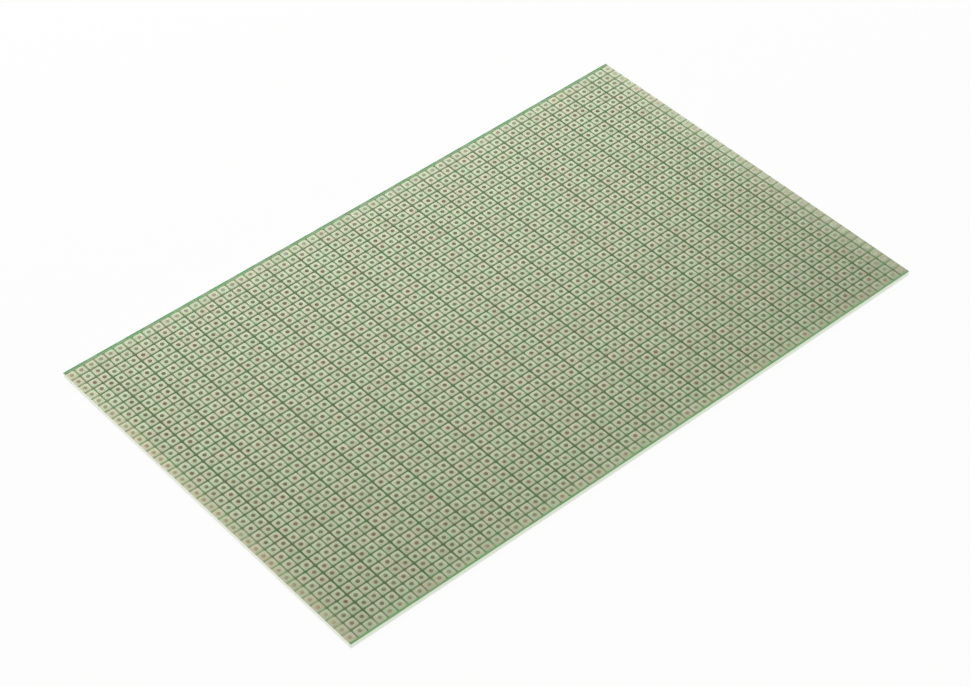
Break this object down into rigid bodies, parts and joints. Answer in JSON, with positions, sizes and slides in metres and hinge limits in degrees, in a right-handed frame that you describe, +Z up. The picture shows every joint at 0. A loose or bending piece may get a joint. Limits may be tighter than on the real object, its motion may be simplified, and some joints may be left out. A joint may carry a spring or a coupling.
{
  "type": "prototype board",
  "caption": "Rectangular prototype board: a thin drilled glass-fibre laminate with short tinned copper strips in a square grid, parted by green solder mask.",
  "frame": {"origin": "centre of the board's footprint, on the surface that it lies on", "axes": "+X along the strips and the long side, +Y across the board, +Z up out of the copper side"},
  "size_m": [0.1594, 0.1, 0.0015],
  "materials": {
    "laminate": "resin-smooth glass-fibre laminate, sawn edges",
    "tinned_copper": "hot-air levelled tin, satin to bright",
    "solder_mask": "glossy green lacquer"
  },
  "bodies": {
    "root": {"laminate": "laminate", "copper_strips": "tinned_copper", "solder_mask": "solder_mask"}
  },
  "joints": []
}
